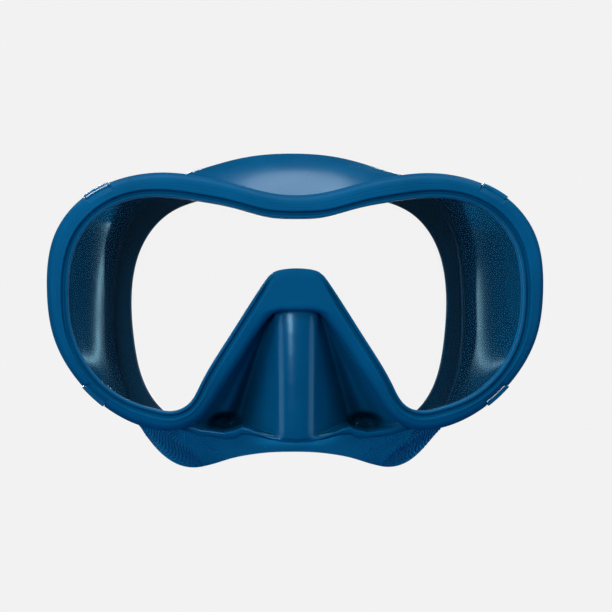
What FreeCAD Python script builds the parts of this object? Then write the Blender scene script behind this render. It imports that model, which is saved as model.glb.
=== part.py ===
import FreeCAD, Part

import math
import os

# Single-lens diving mask, in millimetres.
# The wearer looks along -Y: the rim's front land lies in the plane Y = 0 and the face is at +Y.
# Z is up, X runs across the face, and the origin is on the bridge plate, midway across.

V = FreeCAD.Vector
ACROSS = V(1, 0, 0)
BACK = V(0, 1, 0)
UP = V(0, 0, 1)

doc = FreeCAD.newDocument("DivingMask")

# ---------------------------------------------------------------- driving dimensions
SIZES = {
    # front rim, frame and lens
    "half_width": 87.5,
    "rim_depth": 11.0,
    "rim_round": 3.0,
    "lens_front": 3.0,
    "lens_thick": 4.0,
    "lens_hold": 2.0,
    "frame_band": 3.4,
    "frame_front": 2.6,
    "frame_depth": 6.4,
    "pad_length": 10.0,
    "pad_proud": 0.6,
    "pad_depth": 5.4,
    # skirt
    "skirt_wall": 2.2,
    "face_radius": 79.0,
    "face_front": 40.0,
    "seal_thick": 2.2,
    # strap hardware, one set on each side
    "strap_height": 3.0,
    "mount_width": 12.0,
    "mount_thick": 2.2,
    "mount_face": 84.2,
    "swivel_back": 21.0,
    "swivel_radius": 2.5,
    "head_radius": 3.8,
    "head_thick": 1.0,
    "yoke_thick": 2.4,
    "fold_back": 33.0,
    "knuckle_radius": 3.0,
    "knuckle_length": 10.0,
    "knuckle_gap": 0.3,
    "pin_radius": 1.2,
    "pin_clear": 0.05,
    "buckle_mid": 82.5,
    "buckle_thick": 5.8,
    "buckle_front": 37.0,
    "buckle_length": 27.5,
    "buckle_width": 26.4,
    "rail_width": 2.6,
    "front_bar": 4.2,
    "rear_bar": 3.0,
    "roller_back": 53.0,
    "roller_radius": 2.6,
    "side_gap": 0.3,
    "lever_back": 44.0,
    "lever_offset": 1.7,
    "lever_thick": 2.1,
    "lever_length": 8.4,
    "lever_pin_radius": 0.8,
    "spring_thick": 0.3,
    "spring_length": 6.5,
    "spring_width": 6.0,
}

sheet = doc.addObject("Spreadsheet::Sheet", "Sizes")
for row, (alias, value) in enumerate(SIZES.items(), start=1):
    sheet.set(f"A{row}", alias)
    sheet.set(f"B{row}", str(value))
    sheet.setAlias(f"B{row}", alias)
doc.recompute()


def size(alias):
    """The value of one driving dimension."""
    return float(sheet.get(alias))


# ---------------------------------------------------------------- helpers
nodes = []


def bind(feature, **sizes):
    """Binds properties of a feature to expressions on the sheet."""
    for prop, expression in sizes.items():
        feature.setExpression(prop, expression)
    return feature


def node(feature, label):
    """Marks a finished feature as one physical piece and gives it its name."""
    feature.Label = label
    nodes.append(feature)
    return feature


def mirrored(points):
    """The whole loop of an outline drawn from its top middle to its bottom middle on the +X side."""
    left = [(-x, z) for x, z in reversed(points) if x > 0]
    return points + left


def loop_curve(points, y):
    """A smooth closed curve through (x, z) points, in the plane at depth y."""
    curve = Part.BSplineCurve()
    curve.interpolate([V(x, y, z) for x, z in points], PeriodicFlag=True)
    return curve


def loop_wire(points, y):
    return Part.Wire([loop_curve(points, y).toShape()])


def grown(points, distance):
    """The points of a loop, moved outwards at right angles to it, or inwards if negative."""
    curve = loop_curve(points, 0)
    moved = []
    for x, z in points:
        tangent = curve.tangent(curve.parameter(V(x, 0, z)))[0]
        moved.append((x - distance * tangent.z, z + distance * tangent.x))
    return moved


def outline(name, wire):
    feature = doc.addObject("Part::Feature", name)
    feature.Shape = wire
    return feature


def extrude(name, base, start, length):
    """A solid that runs straight back from a flat outline, between two depths."""
    feature = doc.addObject("Part::Extrusion", name)
    feature.Base = base
    feature.DirMode = "Custom"
    feature.Dir = BACK
    feature.Solid = True
    bind(feature, LengthFwd=f"{start} + {length}", LengthRev=f"-({start})")
    return feature


def cut(name, base, tool):
    feature = doc.addObject("Part::Cut", name)
    feature.Base = base
    feature.Tool = tool
    return feature


def fuse(name, *shapes):
    feature = doc.addObject("Part::MultiFuse", name)
    feature.Shapes = list(shapes)
    feature.Refine = True
    return feature


def common(name, *shapes):
    feature = doc.addObject("Part::MultiCommon", name)
    feature.Shapes = list(shapes)
    return feature


def box(name, length, width, height, x, y, z, axis=UP, angle=0.0):
    """A box centred on (x, y, z), with its three sizes bound to the sheet."""
    feature = doc.addObject("Part::Box", name)
    bind(feature, Length=length, Width=width, Height=height)
    feature.recompute()
    turn = FreeCAD.Rotation(axis, angle)
    half = V(feature.Length.Value / 2, feature.Width.Value / 2, feature.Height.Value / 2)
    feature.Placement = FreeCAD.Placement(V(x, y, z) - turn.multVec(half), turn)
    return feature


def cylinder(name, radius, length, x, y, z, axis=UP):
    """A cylinder centred on (x, y, z), along the given axis."""
    feature = doc.addObject("Part::Cylinder", name)
    bind(feature, Radius=radius, Height=length)
    feature.recompute()
    middle = V(x, y, z) - axis * (feature.Height.Value / 2)
    feature.Placement = FreeCAD.Placement(middle, FreeCAD.Rotation(UP, axis))
    return feature


# ---------------------------------------------------------------- outlines of the front
HALF = size("half_width")

# Outer edge of the rim: brow dip, upper corner, temple, lower corner, then up the nose notch.
RIM_EDGE = [
    (0, 36.3), (10, 37.3), (24, 40.9), (45, 44.2), (61, 42.2), (75, 35.2), (84.5, 23),
    (HALF, 3), (85, -14), (77, -28.5), (64, -40.3), (52, -45.6), (42, -46.3), (34.5, -42.8),
    (28, -34.5), (18, -18.8), (10.2, -7.2), (6.5, -4.9), (0, -4.7),
]

# Edge of the clear window in front of the lens.
WINDOW_EDGE = [
    (0, 27.9), (8, 28.2), (17, 30.6), (28, 33), (42, 34.9), (54, 35.1), (66, 31.2), (75.5, 22.5),
    (79.8, 3), (78, -13), (71.5, -25.5), (60, -35.2), (50, -38.7), (42, -39.5), (37.3, -36.5),
    (30.5, -25.2), (18.7, -4.8), (12.2, 5.2), (7, 9.3), (0, 10.4),
]

rim_loop = mirrored(RIM_EDGE)
window_loop = mirrored(WINDOW_EDGE)
lens_loop = grown(window_loop, size("lens_hold"))
frame_loop = grown(window_loop, size("lens_hold") + size("frame_band"))

rim_edge = outline("RimEdge", loop_wire(rim_loop, 0))
window_edge = outline("WindowEdge", loop_wire(window_loop, 0))
lens_edge = outline("LensEdge", loop_wire(lens_loop, 0))
frame_edge = outline("FrameEdge", loop_wire(frame_loop, 0))
pad_edge = outline("PadEdge", loop_wire(grown(rim_loop, size("pad_proud")), 0))

# ---------------------------------------------------------------- lens
lens = node(extrude("Lens", lens_edge, "Sizes.lens_front", "Sizes.lens_thick"), "lens")

# ---------------------------------------------------------------- rigid inner frame
# A hard ring round the edge of the lens, with four pads that come out through the silicone.
frame_outer = extrude("FrameOuter", frame_edge, "Sizes.frame_front", "Sizes.frame_depth")
frame_hole = extrude("FrameHole", lens_edge, "Sizes.frame_front - 1", "Sizes.frame_depth + 2")
frame_ring = cut("FrameRing", frame_outer, frame_hole)

pad_outer = extrude("PadOuter", pad_edge, "Sizes.frame_front", "Sizes.pad_depth")
pad_hole = extrude("PadHole", frame_edge, "Sizes.frame_front - 1", "Sizes.pad_depth + 2")
pad_band = cut("PadBand", pad_outer, pad_hole)

# Middle of each pad on the rim's edge, and the slope of the edge there, in degrees.
PAD_PLACES = {"upper": (70.3, 37.6, 32.0), "lower": (71.0, -34.8, -41.0)}

pad_zones = []
for height, (pad_x, pad_z, slope) in PAD_PLACES.items():
    for side, sign in (("left", -1), ("right", 1)):
        zone = box(f"PadZone{height}{side}", "Sizes.pad_length", "Sizes.rim_depth * 2", "16",
                   sign * pad_x, size("rim_depth") / 2, pad_z, BACK, sign * slope)
        pad_zones.append(zone)
pads = common("Pads", pad_band, fuse("PadZones", *pad_zones))
inner_frame = node(fuse("InnerFrame", frame_ring, pads), "inner_frame")

# ---------------------------------------------------------------- silicone front rim
rim_block = extrude("RimBlock", rim_edge, "0", "Sizes.rim_depth")
window = extrude("Window", window_edge, "-1", "Sizes.rim_depth + 2")
rim_open = cut("RimOpen", rim_block, window)
doc.recompute()


# The outer front corner is rounded all the way along.
def front_outer_edges(shape):
    """Numbers of the edges that lie in the front plane on the outer outline."""
    found = []
    for number, edge in enumerate(shape.Edges, start=1):
        flat = abs(edge.BoundBox.YMax) < 0.01
        if flat and edge.BoundBox.XLength > HALF * 2 - 4:
            found.append(number)
    return found


rim_rounded = doc.addObject("Part::Fillet", "RimRounded")
rim_rounded.Base = rim_open
rim_rounded.Edges = [
    (number, size("rim_round"), size("rim_round")) for number in front_outer_edges(rim_open.Shape)
]
mount_roots = []
for sign in (-1, 1):
    root_middle = size("mount_face") + size("mount_thick") / 2 - 1
    root = box(f"MountRoot{sign + 1}", "Sizes.mount_thick + 2", "2", "Sizes.mount_width",
               sign * root_middle, size("rim_depth") - 1, size("strap_height"))
    mount_roots.append(root)
rim_fillings = fuse("RimFillings", lens, inner_frame, *mount_roots)
front_rim = node(cut("FrontRim", rim_rounded, rim_fillings), "front_rim")

# ---------------------------------------------------------------- skirt
# Outer outline of the skirt at four depths, each from top middle to bottom middle.
SKIRT_OUTLINES = {
    11: [(0, 34.5), (20, 38), (38, 41.3), (58, 40.6), (75, 31), (82, 4), (76, -24), (64, -37),
         (46, -44.2), (24, -47.5), (0, -49)],
    25: [(0, 45.5), (20, 45), (38, 43.6), (57, 40.5), (71, 29), (76, 3), (72, -25), (61, -40),
         (44, -50.4), (22, -53), (0, -52.2)],
    45: [(0, 54.4), (20, 51.3), (37, 46), (53, 41), (66, 28), (71, 2), (68, -26), (58, -45),
         (34.5, -60.6), (20, -58.4), (0, -57)],
    80: [(0, 70), (20, 63), (36, 50), (49, 42), (61, 27), (66, 0), (64, -28), (55, -52),
         (38, -76), (20, -70), (0, -67)],
}


def skirt_solid(name, distance, start_shift):
    """The solid inside the skirt's outer outlines, moved inwards by a distance."""
    sections = []
    for depth, half_points in SKIRT_OUTLINES.items():
        loop = grown(mirrored(half_points), -distance)
        shift = start_shift if depth == min(SKIRT_OUTLINES) else 0
        sections.append(outline(f"{name}{depth}", loop_wire(loop, depth + shift)))
    loft = doc.addObject("Part::Loft", name)
    loft.Sections = sections
    loft.Solid = True
    loft.Ruled = False
    return loft


def face_solid(name, clearance):
    """The head: a tall cylinder whose front is the curve of the face."""
    centre = size("face_front") + size("face_radius")
    return cylinder(name, f"Sizes.face_radius + {clearance}", "220", 0, centre, 0)


face = face_solid("Face", "0")
face_clear = face_solid("FaceClear", "Sizes.seal_thick")

# Nose pocket: a round ridge, flanks that fall back into two finger wells, and a closed lower end.
# Each level gives its height, half width at the rim's legs, ridge half width and ridge front.
POCKET_LEVELS = [
    (-2.0, 9.0, 4.6, 3.4),
    (-18.0, 18.6, 6.0, 2.4),
    (-33.0, 28.0, 7.2, 1.6),
    (-42.0, 33.5, 7.6, 1.5),
    (-46.5, 25.0, 7.6, 2.0),
    (-50.0, 13.0, 6.0, 4.0),
]
POCKET_WALL = 2.0
POCKET_REAR = 19.0
WELL_DEPTH = 17.0


def pocket_section(height, half, ridge, front, inner):
    """A closed section of the nose pocket in a level plane: its outside, or its hollow."""
    middle = front + ridge
    well = ridge + (half - ridge) * 0.72
    if inner:
        ridge = ridge - POCKET_WALL
        side = [(well - POCKET_WALL, POCKET_REAR - 0.5), (well - POCKET_WALL, POCKET_REAR + 8)]
    else:
        side = [(well, WELL_DEPTH), (half + 2.0, size("rim_depth") + 0.2),
                (half + 2.0, POCKET_REAR)]
    crown = V(0, middle - ridge, height)
    right = [V(ridge, middle, height)] + [V(x, y, height) for x, y in side]
    left = [V(-point.x, point.y, height) for point in reversed(right)]
    edges = [Part.Arc(left[-1], crown, right[0]).toShape()]
    path = right + left
    for begin, end in zip(path, path[1:]):
        edges.append(Part.LineSegment(begin, end).toShape())
    return Part.Wire(edges)


def pocket_solid(name, levels, inner):
    loft = doc.addObject("Part::Loft", name)
    loft.Sections = [
        outline(f"{name}{index}", pocket_section(*level, inner)) for index, level in enumerate(levels)
    ]
    loft.Solid = True
    loft.Ruled = True
    return loft


pocket_outside = pocket_solid("PocketOutside", POCKET_LEVELS, False)
hollow_levels = [(-4.5, 10.5, 4.8, 3.2)] + POCKET_LEVELS[1:4] + [(-47.5, 22.0, 7.4, 2.4)]
pocket_hollow = pocket_solid("PocketHollow", hollow_levels, True)
skirt_outside = skirt_solid("SkirtOutside", 0.0, 0.0)
skirt_hollow = skirt_solid("SkirtHollow", size("skirt_wall"), -1.0)
pocket_shell = cut("PocketShell", pocket_outside, pocket_hollow)
nose_pocket = node(cut("NosePocket", pocket_shell, front_rim), "nose_pocket")

skirt_shell = cut("SkirtShell", skirt_outside, skirt_hollow)
skirt_trimmed = cut("SkirtTrimmed", skirt_shell, face_clear)
skirt = node(cut("Skirt", skirt_trimmed, pocket_outside), "skirt")

# ---------------------------------------------------------------- face seal
# The soft in-turned flange that lies on the face, with one opening for both eyes and the nose.
OPENING_EDGE = [
    (0, 40), (22, 38), (40, 33.5), (53, 23), (59, 2), (58, -18), (52, -36.5), (38, -46),
    (20, -47), (0, -45),
]
opening_edge = outline("OpeningEdge", loop_wire(mirrored(OPENING_EDGE), 0))
opening = extrude("Opening", opening_edge, "1", "120")
seal_blank = common("SealBlank", skirt_outside, cut("SealLayer", face_clear, face))
face_seal = node(cut("FaceSeal", seal_blank, opening), "face_seal")


# ---------------------------------------------------------------- strap hardware
def bored(name, shape, *holes):
    """A shape with its holes taken out."""
    for index, hole in enumerate(holes):
        shape = cut(f"{name}Hole{index}", shape, hole)
    return shape


def sketch_rectangle(sketch, left, bottom, right, top):
    corners = [V(left, bottom, 0), V(right, bottom, 0), V(right, top, 0), V(left, top, 0)]
    for begin, end in zip(corners, corners[1:] + corners[:1]):
        sketch.addGeometry(Part.LineSegment(begin, end), False)


def origin_plane(body, role):
    for feature in body.Origin.OriginFeatures:
        if feature.Role == role:
            return feature
    raise ValueError(role)


def buckle_plate(name, x):
    """The buckle's flat loop: two rails and two bars round the strap window, drawn side on."""
    body = doc.addObject("PartDesign::Body", name)
    sketch = body.newObject("Sketcher::SketchObject", name + "Loop")
    sketch.AttachmentSupport = (origin_plane(body, "YZ_Plane"), [""])
    sketch.MapMode = "FlatFace"
    front = size("buckle_front")
    rear = front + size("buckle_length")
    middle = size("strap_height")
    half = size("buckle_width") / 2
    inner = half - size("rail_width")
    sketch_rectangle(sketch, front, middle - half, rear, middle + half)
    sketch_rectangle(sketch, front + size("front_bar"), middle - inner,
                     rear - size("rear_bar"), middle + inner)
    pad = body.newObject("PartDesign::Pad", name + "Pad")
    pad.Profile = sketch
    pad.Midplane = True
    pad.setExpression("Length", "Sizes.buckle_thick")
    body.Placement = FreeCAD.Placement(V(x, 0, 0), FreeCAD.Rotation())
    doc.recompute()
    return body


def strap_side(side, sign):
    """Mount, swivel yoke, folding buckle, roller and release lever of one side."""
    height = size("strap_height")
    tag = side.capitalize()

    def local(name):
        return name + tag

    # Mount: a root let into the rim's back on the frame, and an ear that carries the swivel pin.
    ear_middle = sign * (size("mount_face") + size("mount_thick") / 2)
    ear_length = size("swivel_back") - size("rim_depth")
    ear = box(local("Ear"), "Sizes.mount_thick", "Sizes.swivel_back - Sizes.rim_depth",
              "Sizes.mount_width", ear_middle, size("rim_depth") + ear_length / 2, height)
    ear_end = cylinder(local("EarEnd"), "Sizes.mount_width / 2", "Sizes.mount_thick",
                       ear_middle, size("swivel_back"), height, ACROSS)
    root = box(local("EarRoot"), "Sizes.mount_thick + 2", "2", "Sizes.mount_width",
               ear_middle - sign * 1.0, size("rim_depth") - 1, height)
    pin_hole = cylinder(local("EarBore"), "Sizes.swivel_radius", "20",
                        ear_middle, size("swivel_back"), height, ACROSS)
    mount = bored(local("Mount"), fuse(local("MountBlank"), ear, ear_end, root), pin_hole)
    node(mount, f"strap_mount_{side}")

    # Swivel pin: shank through ear and yoke, and a flat head inboard of the yoke.
    yoke_outer = size("mount_face") - size("side_gap")
    head_outer = yoke_outer - size("yoke_thick") - size("side_gap") / 2
    shank_outer = size("mount_face") + size("mount_thick")
    shank_length = shank_outer - head_outer
    shank = cylinder(local("Shank"), "Sizes.swivel_radius", str(round(shank_length, 3)),
                     sign * (head_outer + shank_length / 2), size("swivel_back"), height, ACROSS)
    head = cylinder(local("Head"), "Sizes.head_radius", "Sizes.head_thick",
                    sign * (head_outer - size("head_thick") / 2), size("swivel_back"), height,
                    ACROSS)
    node(fuse(local("SwivelPin"), shank, head), f"swivel_pin_{side}")

    # Swivel yoke: a flat link from the swivel pin back to one hinge knuckle.
    yoke_middle = sign * (yoke_outer - size("yoke_thick") / 2)
    fold_x = yoke_middle
    reach = size("fold_back") - size("swivel_back")
    link = box(local("Link"), "Sizes.yoke_thick", "Sizes.fold_back - Sizes.swivel_back",
               "Sizes.knuckle_length", yoke_middle, size("swivel_back") + reach / 2, height)
    link_end = cylinder(local("LinkEnd"), "Sizes.mount_width / 2", "Sizes.yoke_thick",
                        yoke_middle, size("swivel_back"), height, ACROSS)
    knuckle = cylinder(local("Knuckle"), "Sizes.knuckle_radius", "Sizes.knuckle_length",
                       fold_x, size("fold_back"), height)
    swivel_bore = cylinder(local("SwivelBore"), "Sizes.swivel_radius + Sizes.pin_clear", "20",
                           yoke_middle, size("swivel_back"), height, ACROSS)
    fold_bore = cylinder(local("FoldBore"), "Sizes.pin_radius", "40",
                         fold_x, size("fold_back"), height)
    yoke = bored(local("Yoke"), fuse(local("YokeBlank"), link, link_end, knuckle),
                 swivel_bore, fold_bore)
    node(yoke, f"swivel_yoke_{side}")

    node(cylinder(local("FoldPin"), "Sizes.pin_radius", "Sizes.buckle_width",
                  fold_x, size("fold_back"), height), f"fold_pin_{side}")

    # Buckle body: the loop, two knuckles either side of the yoke's one, and its bores.
    buckle_x = sign * size("buckle_mid")
    loop = buckle_plate(local("BuckleLoop"), buckle_x)
    knuckle_run = size("buckle_width") / 2 - size("knuckle_length") / 2 - size("knuckle_gap")
    knuckles = []
    for level, direction in (("Low", -1), ("High", 1)):
        centre = height + direction * (size("buckle_width") - knuckle_run) / 2
        barrel = cylinder(local(level + "Barrel"), "Sizes.knuckle_radius",
                          str(round(knuckle_run, 3)), fold_x, size("fold_back"), centre)
        web_length = size("buckle_front") - size("fold_back") + 1
        web = box(local(level + "Web"), "Sizes.knuckle_radius * 2 - 0.6", str(web_length),
                  str(round(knuckle_run, 3)), fold_x,
                  size("fold_back") + web_length / 2, centre)
        knuckles += [barrel, web]
    loose_bore = cylinder(local("LooseBore"), "Sizes.pin_radius + Sizes.pin_clear", "40",
                          fold_x, size("fold_back"), height)
    axle_bore = cylinder(local("AxleBore"), "Sizes.pin_radius", "40",
                         buckle_x, size("roller_back"), height)
    lever_x = sign * (size("buckle_mid") + size("lever_offset"))
    lever_bore = cylinder(local("LeverBore"), "Sizes.lever_pin_radius", "40",
                          lever_x, size("lever_back"), height)
    spring_x = sign * (size("buckle_mid") - 0.7)
    spring_y = size("buckle_front") + size("front_bar") + size("spring_length") / 2 - 1.5
    spring_slot = box(local("SpringSlot"), "Sizes.spring_thick", "Sizes.spring_length",
                      "Sizes.spring_width", spring_x, spring_y, height)
    buckle = bored(local("Buckle"), fuse(local("BuckleBlank"), loop, *knuckles),
                   loose_bore, axle_bore, lever_bore, spring_slot)
    node(buckle, f"buckle_body_{side}")

    # Strap roller on its fixed axle.
    roller_length = "Sizes.buckle_width - 2 * Sizes.rail_width - 2 * Sizes.side_gap"
    roller = cylinder(local("RollerBlank"), "Sizes.roller_radius", roller_length,
                      buckle_x, size("roller_back"), height)
    roller_bore = cylinder(local("RollerBore"), "Sizes.pin_radius + Sizes.pin_clear", "40",
                           buckle_x, size("roller_back"), height)
    node(bored(local("Roller"), roller, roller_bore), f"strap_roller_{side}")
    node(cylinder(local("RollerAxle"), "Sizes.pin_radius", "Sizes.buckle_width",
                  buckle_x, size("roller_back"), height), f"roller_axle_{side}")

    # Release lever: a plate that turns on its pin and bites the strap beside the roller.
    plate_y = size("lever_back") - 2.2 + size("lever_length") / 2
    plate = box(local("LeverPlate"), "Sizes.lever_thick", "Sizes.lever_length", roller_length,
                lever_x, plate_y, height)
    lever_hole = cylinder(local("LeverHole"), "Sizes.lever_pin_radius + Sizes.pin_clear", "40",
                          lever_x, size("lever_back"), height)
    node(bored(local("Lever"), plate, lever_hole), f"release_lever_{side}")
    node(cylinder(local("LeverPin"), "Sizes.lever_pin_radius", "Sizes.buckle_width",
                  lever_x, size("lever_back"), height), f"lever_pin_{side}")

    # Leaf spring clipped in the front bar, under the lever's short end.
    node(box(local("Spring"), "Sizes.spring_thick", "Sizes.spring_length", "Sizes.spring_width",
             spring_x, spring_y, height), f"lever_spring_{side}")


for side_name, side_sign in (("left", -1), ("right", 1)):
    strap_side(side_name, side_sign)

# ---------------------------------------------------------------- checks and export
doc.recompute()
for feature in doc.Objects:
    if "Invalid" in feature.State or "Error" in feature.State:
        raise RuntimeError(f"{feature.Name} failed: {feature.State}")
for feature in nodes:
    shape = feature.Shape
    if shape.isNull() or not shape.isValid() or not shape.Solids:
        raise RuntimeError(f"{feature.Label} has no valid solid")

os.makedirs("parts", exist_ok=True)
for feature in nodes:
    feature.Shape.exportStep(f"parts/{feature.Label}.step")
    bounds = feature.Shape.BoundBox
    print(f"{feature.Label:24s} solids {len(feature.Shape.Solids)} volume {feature.Shape.Volume:9.1f} "
          f"x {bounds.XMin:7.2f} {bounds.XMax:7.2f} y {bounds.YMin:6.2f} {bounds.YMax:6.2f} "
          f"z {bounds.ZMin:7.2f} {bounds.ZMax:7.2f}")
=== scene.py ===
import math

import bmesh
import bpy
import numpy as np
from mathutils import Matrix, Vector


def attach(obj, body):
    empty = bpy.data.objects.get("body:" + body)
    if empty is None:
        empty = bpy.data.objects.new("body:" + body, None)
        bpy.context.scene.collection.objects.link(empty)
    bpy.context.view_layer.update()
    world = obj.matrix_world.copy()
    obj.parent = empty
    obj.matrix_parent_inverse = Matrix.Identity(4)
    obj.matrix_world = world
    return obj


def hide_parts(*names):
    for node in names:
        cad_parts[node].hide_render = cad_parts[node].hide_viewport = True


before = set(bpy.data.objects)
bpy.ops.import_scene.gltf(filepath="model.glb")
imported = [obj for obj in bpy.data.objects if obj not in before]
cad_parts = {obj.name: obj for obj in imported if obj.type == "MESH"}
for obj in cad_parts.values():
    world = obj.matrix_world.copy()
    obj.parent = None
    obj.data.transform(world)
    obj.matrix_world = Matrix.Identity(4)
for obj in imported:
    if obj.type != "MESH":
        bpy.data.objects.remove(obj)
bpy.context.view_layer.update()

scene = bpy.context.scene
scene.view_settings.view_transform = "Standard"

# ------------------------------------------------------------------ studio and view
# A pale seamless sheet behind and under the mask, a long lens from the front, soft lights all round
# it, and dark blue surroundings so the silicone keeps its depth of colour. The narrow cool lights
# behind show only as streaks on the polished inner walls.
VIEW_DISTANCE = 0.891
VIEW_TURN = math.radians(-2.5)
LENS_LENGTH, SENSOR_WIDTH = 150, 36
SHIFT_ACROSS, SHIFT_UP = 0.0148, -0.0127

camera_data = bpy.data.cameras.new("camera")
camera_data.lens = LENS_LENGTH
camera_data.sensor_width = SENSOR_WIDTH
camera_data.shift_x = SHIFT_ACROSS
camera_data.shift_y = SHIFT_UP
camera_data.clip_end = 20
camera = bpy.data.objects.new("camera", camera_data)
camera.location = (VIEW_DISTANCE * math.sin(VIEW_TURN), -VIEW_DISTANCE * math.cos(VIEW_TURN), 0)
camera.rotation_euler = (math.pi / 2, 0, VIEW_TURN)
scene.collection.objects.link(camera)
scene.camera = camera


def principled(material):
    """The material's one shader, with nothing else in its tree but the output."""
    material.use_nodes = True
    return material.node_tree.nodes["Principled BSDF"]


PALE = (0.888, 0.888, 0.888, 1)
PAPER_BOUNCE = (0.004, 0.14, 0.3, 1)
ROOM_BLUE, ROOM_STRENGTH = (0.05, 0.6, 1.0, 1), 0.05


def pale_when_seen(tree, hidden, shown, end_kind):
    """One shader for light that reaches the mask, and another for what is looked at directly."""
    path = tree.nodes.new("ShaderNodeLightPath")
    either = tree.nodes.new("ShaderNodeMath")
    either.operation = "MAXIMUM"
    tree.links.new(path.outputs["Is Camera Ray"], either.inputs[0])
    tree.links.new(path.outputs["Is Transmission Ray"], either.inputs[1])
    mix = tree.nodes.new("ShaderNodeMixShader")
    tree.links.new(either.outputs[0], mix.inputs["Fac"])
    tree.links.new(hidden.outputs[0], mix.inputs[1])
    tree.links.new(shown.outputs[0], mix.inputs[2])
    end = tree.nodes.new(end_kind)
    tree.links.new(mix.outputs["Shader"], end.inputs["Surface"])


def paper_material():
    material = bpy.data.materials.new("pale_paper")
    material.use_nodes = True
    tree = material.node_tree
    tree.nodes.clear()
    paper = tree.nodes.new("ShaderNodeBsdfDiffuse")
    paper.inputs["Color"].default_value = PAPER_BOUNCE
    glow = tree.nodes.new("ShaderNodeEmission")
    glow.inputs["Color"].default_value = PALE
    pale_when_seen(tree, paper, glow, "ShaderNodeOutputMaterial")
    return material


def sweep_sheet():
    """Floor, bend and wall as one sheet, with the floor well under the mask."""
    floor_height, wall_depth, bend, reach, bend_steps = -0.32, 1.6, 0.5, 3.0, 16
    outline = [(-reach, floor_height)]
    for step in range(bend_steps + 1):
        angle = math.pi / 2 * step / bend_steps
        outline.append((wall_depth - bend + bend * math.sin(angle),
                        floor_height + bend - bend * math.cos(angle)))
    outline.append((wall_depth, reach))
    mesh = bpy.data.meshes.new("studio_sheet")
    verts = [(x, y, z) for x in (-reach, reach) for y, z in outline]
    count = len(outline)
    faces = [(i, i + 1, count + i + 1, count + i) for i in range(count - 1)]
    mesh.from_pydata(verts, [], faces)
    mesh.materials.append(paper_material())
    mesh.shade_smooth()
    sheet = bpy.data.objects.new("studio_sheet", mesh)
    scene.collection.objects.link(sheet)


def soft_light(name, place, width, height, watts, colour=(1, 1, 1)):
    """A softbox aimed at the mask, which is seen only by the light that it gives."""
    data = bpy.data.lights.new(name, "AREA")
    data.shape = "RECTANGLE"
    data.size = width
    data.size_y = height
    data.energy = watts
    data.color = colour
    light = bpy.data.objects.new(name, data)
    light.location = place
    light.rotation_euler = (-Vector(place)).to_track_quat("-Z", "Y").to_euler()
    light.visible_camera = False
    light.visible_transmission = False
    scene.collection.objects.link(light)


def surroundings():
    world = bpy.data.worlds.new("studio")
    world.use_nodes = True
    tree = world.node_tree
    tree.nodes.clear()
    dim = tree.nodes.new("ShaderNodeBackground")
    dim.inputs["Color"].default_value = ROOM_BLUE
    dim.inputs["Strength"].default_value = ROOM_STRENGTH
    bright = tree.nodes.new("ShaderNodeBackground")
    bright.inputs["Color"].default_value = PALE
    pale_when_seen(tree, dim, bright, "ShaderNodeOutputWorld")
    scene.world = world


COOL = (0.45, 0.85, 1.0)

sweep_sheet()
surroundings()
soft_light("light_overhead", (0, 0.12, 0.9), 1.1, 0.6, 7.5)
soft_light("light_high_front", (-0.1, -0.6, 0.85), 0.6, 0.2, 3.2)
soft_light("light_left", (-0.88, -0.4, 0.12), 0.7, 1.1, 5.4)
soft_light("light_right", (0.88, -0.4, 0.12), 0.7, 1.1, 4.2)
soft_light("light_front", (-0.25, -1.0, 0.28), 0.22, 0.36, 5.4)
soft_light("light_below", (0, -0.45, -0.55), 0.9, 0.3, 4.5)
soft_light("light_rear", (0, 1.3, 0.03), 0.5, 0.3, 9)
for side, way in (("left", -1), ("right", 1)):
    soft_light(f"light_rear_{side}", (way * 0.55, 1.26, -0.06), 0.07, 0.9, 0.4, COOL)
    soft_light(f"light_rear_high_{side}", (way * 0.48, 1.22, 0.7), 0.35, 0.35, 0.9, COOL)


# ------------------------------------------------------------------ silicone front rim
# One thick moulded lip of blue silicone round the lens: a bulging outer flank, a flat face with two
# shallow lines, a deep groove and a thin inner lip. It widens into the bridge plate over the nose.
MM = 0.001
# Each pair is one section of the rim on the +X side: a point on its outer edge and the point on
# the edge of the window that faces it, in millimetres, from the brow round to the bridge plate.
RIM_SECTIONS = [
    ((0, 36.3), (0, 27.9)), ((10, 37.3), (8.5, 28.3)), ((24, 40.9), (21.5, 31.6)),
    ((36, 43.3), (34, 34.0)), ((47, 44.2), (46.5, 35.4)), ((61, 42.2), (57.5, 34.6)),
    ((75, 35.2), (68.5, 29.6)), ((84.5, 23), (76.6, 19.8)), ((87.5, 3), (79.8, 2.6)),
    ((85, -14), (78, -13)), ((77, -28.5), (71.2, -26)), ((64, -40.3), (60.5, -34.9)),
    ((52, -45.6), (50.5, -38.6)), ((42, -46.3), (42.5, -39.5)), ((34.5, -42.8), (38, -37.3)),
    ((28, -34.5), (33.8, -30.6)), ((18, -18.8), (24.4, -14.8)), ((9.8, -7.3), (16.4, -2.2)),
    ((7.4, -5.3), (11.4, 5.4)), ((5.4, -4.95), (7.9, 9.2)), ((2.8, -4.9), (4.0, 10.25)),
    ((0, -4.9), (0, 10.5)),
]
RIM_STATIONS = 560
PAD_LENGTH = 10.0
PAD_MIDDLES = [(70.3, 37.9), (-70.3, 37.9), (71.2, -34.4), (-71.2, -34.4)]
# Extra stations round each pad's end, in corners of the outline, so the recess has a crisp edge.
END_SHIFTS = (-0.06, -0.045, -0.03, -0.015, 0, 0.015, 0.03)
FINE_STEPS = 60


def both_sides(half):
    """A whole loop from its +X half, which starts and ends on the middle line."""
    half = [tuple(point) for point in half]
    left = [(-point[0], *point[1:]) for point in reversed(half[1:-1])]
    return np.array(half + left, float)


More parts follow.
